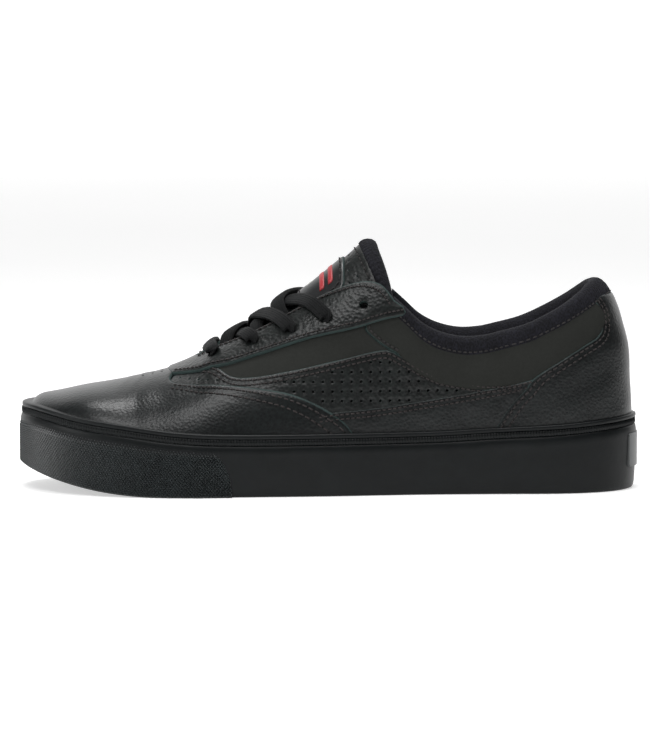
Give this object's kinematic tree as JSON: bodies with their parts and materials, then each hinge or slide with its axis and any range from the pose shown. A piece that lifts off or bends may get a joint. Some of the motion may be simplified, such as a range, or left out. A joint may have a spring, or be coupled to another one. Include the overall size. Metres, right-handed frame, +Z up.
{
  "type": "bowling shoe",
  "caption": "Low-top black leather lace-up bowling shoe, left foot, with cupped rubber sidewall, textured toe bumper and hinged padded tongue.",
  "frame": {"origin": "middle of the shoe's box in X and Y, on the ground under the outsole", "axes": "+Z up, +X from toe to heel, -Y towards the lateral side of this left shoe"},
  "size_m": [0.296, 0.1071, 0.1195],
  "materials": {
    "grained_leather": "pebbled, satin",
    "nubuck": "brushed matte",
    "perforated_leather": "tumbled, punched, satin",
    "collar_knit": "tight knit",
    "lining_textile": "woven mesh",
    "foam": "open-cell foam",
    "lace_cord": "flat woven",
    "foxing_rubber": "satin moulded",
    "outsole_rubber": "matte moulded",
    "midsole_foam": "matte cushion",
    "board_fibre": "fibreboard",
    "stiffener_board": "thermoplastic sheet",
    "label_leather": "smooth, printed",
    "aglet_plastic": "clear black"
  },
  "bodies": {
    "root": {"outsole": "outsole_rubber", "midsole": "midsole_foam", "lasting_board": "board_fibre", "insole": "lining_textile", "foxing": "foxing_rubber", "toe_bumper": "foxing_rubber", "rib_strip": "foxing_rubber", "top_strip": "foxing_rubber", "heel_tab": "foxing_rubber", "vamp": "grained_leather", "toe_puff": "stiffener_board", "vamp_lining": "lining_textile", "quarter_lateral": "nubuck", "quarter_medial": "nubuck", "side_panel_lateral": "perforated_leather", "side_panel_medial": "perforated_leather", "rear_wedge_lateral": "grained_leather", "rear_wedge_medial": "grained_leather", "collar_panel_lateral": "nubuck", "collar_panel_medial": "nubuck", "heel_counter": "grained_leather", "eyestay": "grained_leather", "heel_stiffener": "stiffener_board", "quarter_foam_lateral": "foam", "quarter_foam_medial": "foam", "quarter_lining_lateral": "lining_textile", "quarter_lining_medial": "lining_textile", "heel_lining": "lining_textile", "collar_pad": "lining_textile", "collar_binding": "collar_knit", "lace": "lace_cord", "lace_aglets": "aglet_plastic"},
    "tongue": {"tongue_face": "perforated_leather", "tongue_foam": "foam", "tongue_lining": "lining_textile", "tongue_binding": "collar_knit", "tongue_label": "label_leather"}
  },
  "joints": [
    {"name": "tongue_pivot", "type": "hinge", "parent": "root", "child": "tongue", "pos_m": [-0.063, 0, 0.05], "axis": [0, 1, 0], "range_deg": [0, 6]}
  ]
}
